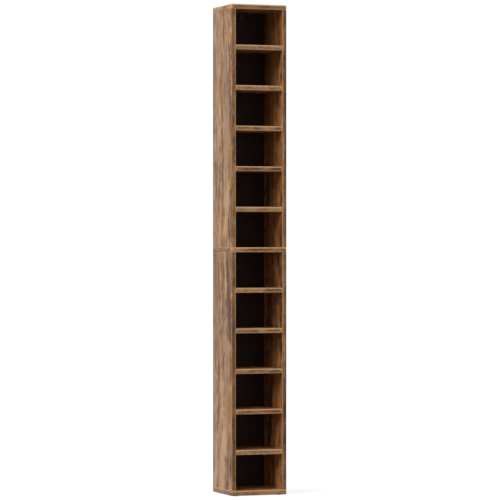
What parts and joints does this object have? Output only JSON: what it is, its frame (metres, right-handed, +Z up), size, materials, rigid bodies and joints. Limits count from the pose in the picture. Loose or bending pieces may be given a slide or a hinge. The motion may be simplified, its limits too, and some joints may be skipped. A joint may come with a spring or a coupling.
{
  "type": "cd dvd storage tower",
  "caption": "Tall narrow open tower of wood-effect board with a middle panel, loose shelves on concealed pins and grooved hardboard backs.",
  "frame": {"origin": "on the floor, under the middle of the tower", "axes": "+Z up; the open front faces -Y; the left side panels are at -X"},
  "size_m": [0.21, 0.195, 1.76],
  "materials": {
    "wood_laminate": "satin",
    "dark_hardboard": "matte",
    "beech": "matte",
    "cast_zinc": "satin",
    "plated_steel": "satin",
    "brown_plastic": "matte",
    "dark_painted_steel": "satin",
    "dark_plastic": "matte"
  },
  "bodies": {
    "root": {"bottom_panel": "wood_laminate", "middle_panel": "wood_laminate", "top_panel": "wood_laminate", "lower_left_side_panel": "wood_laminate", "lower_right_side_panel": "wood_laminate", "upper_left_side_panel": "wood_laminate", "upper_right_side_panel": "wood_laminate", "shelf_01": "wood_laminate", "shelf_02": "wood_laminate", "shelf_03": "wood_laminate", "shelf_04": "wood_laminate", "shelf_05": "wood_laminate", "shelf_06": "wood_laminate", "shelf_07": "wood_laminate", "shelf_08": "wood_laminate", "shelf_09": "wood_laminate", "shelf_10": "wood_laminate", "lower_back_panel": "dark_hardboard", "upper_back_panel": "dark_hardboard", "cam_locks": "cast_zinc", "cam_caps": "brown_plastic", "cam_bolts": "plated_steel", "double_cam_bolts": "plated_steel", "end_dowels": "beech", "through_dowels": "beech", "left_shelf_pins": "plated_steel", "right_shelf_pins": "plated_steel", "glides": "dark_plastic", "wall_bracket": "dark_painted_steel", "bracket_screw": "dark_painted_steel"}
  },
  "joints": []
}
